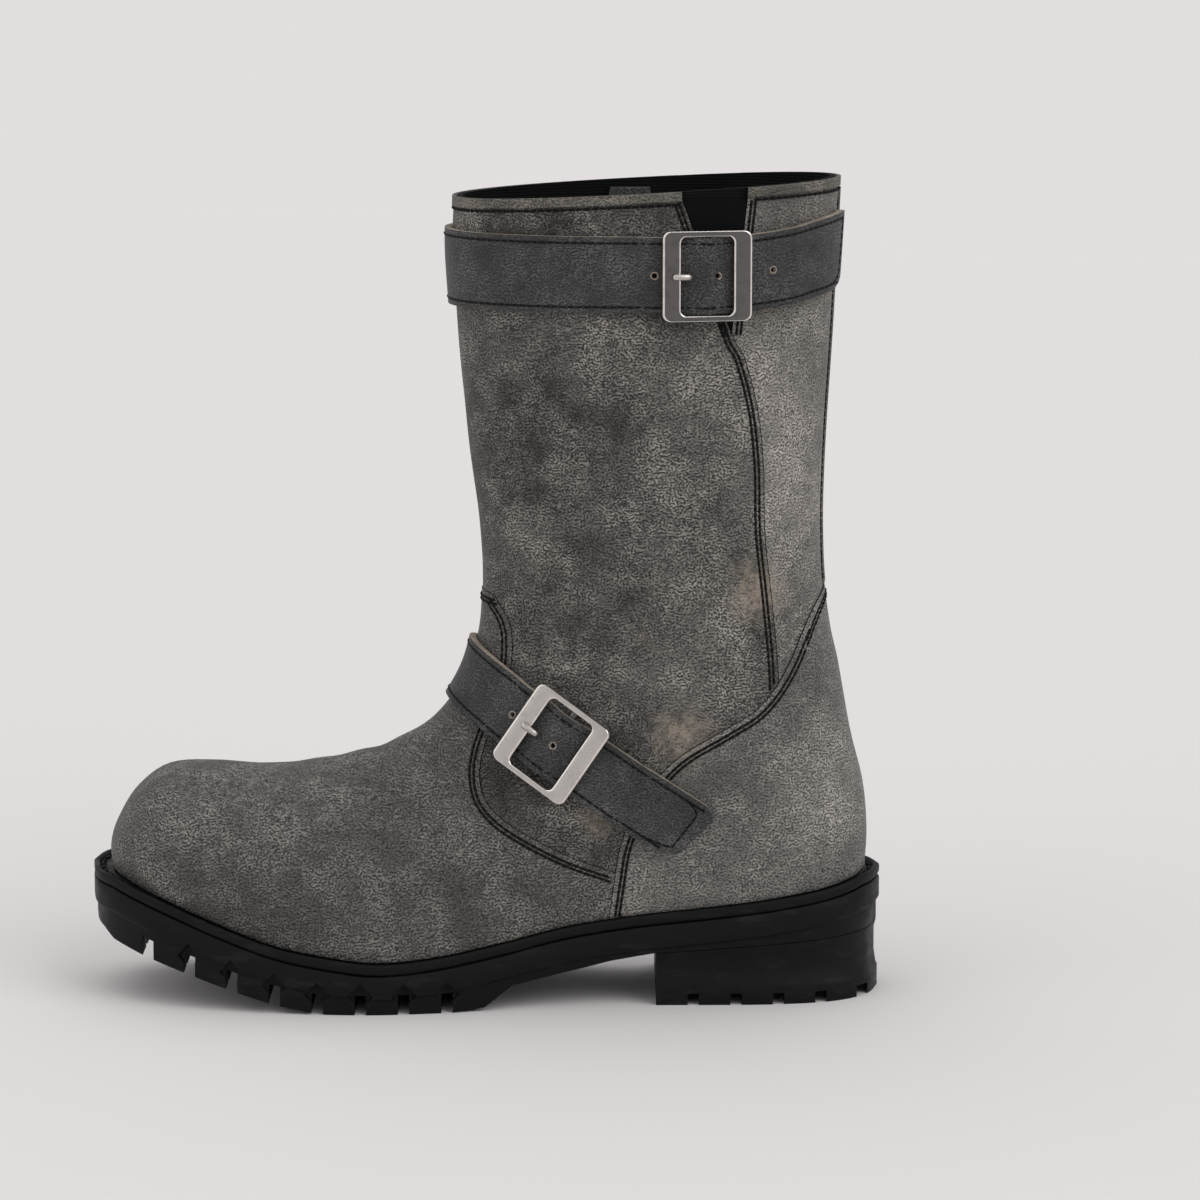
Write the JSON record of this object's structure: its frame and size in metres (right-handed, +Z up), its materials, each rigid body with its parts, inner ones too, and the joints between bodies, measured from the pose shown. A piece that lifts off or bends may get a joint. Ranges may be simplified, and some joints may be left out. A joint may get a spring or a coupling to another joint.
{
  "type": "engineer boot",
  "caption": "Left engineer boot in distressed charcoal leather with two buckled straps, elastic side panels and a lugged black rubber sole",
  "frame": {"origin": "on the floor, under the middle of the boot's box", "axes": "the toe points to -X, the outer side to -Y, up is +Z"},
  "size_m": [0.3174, 0.121, 0.3271],
  "materials": {
    "charcoal_leather": "distressed, matt with crackled grain",
    "strap_leather": "smooth satin, raw tan edges",
    "black_lining": "matt",
    "black_elastic": "ribbed, matt",
    "insole_leather": "matt",
    "black_rubber": "satin",
    "nickel": "satin nickel, bright bevelled edges"
  },
  "bodies": {
    "root": {"upper": "black_lining", "vamp": "charcoal_leather", "front_quarter": "charcoal_leather", "rear_quarter": "charcoal_leather", "counter": "charcoal_leather", "gore_lateral": "black_elastic", "gore_medial": "black_elastic", "insole": "insole_leather", "welt": "black_rubber", "outsole": "black_rubber", "heel": "black_rubber", "top_strap": "strap_leather", "top_buckle": "nickel", "top_prong": "nickel", "top_chape": "strap_leather", "instep_strap": "strap_leather", "instep_buckle": "nickel", "instep_prong": "nickel", "instep_chape": "strap_leather", "pull_loop_lateral": "strap_leather", "pull_loop_medial": "strap_leather"}
  },
  "joints": []
}
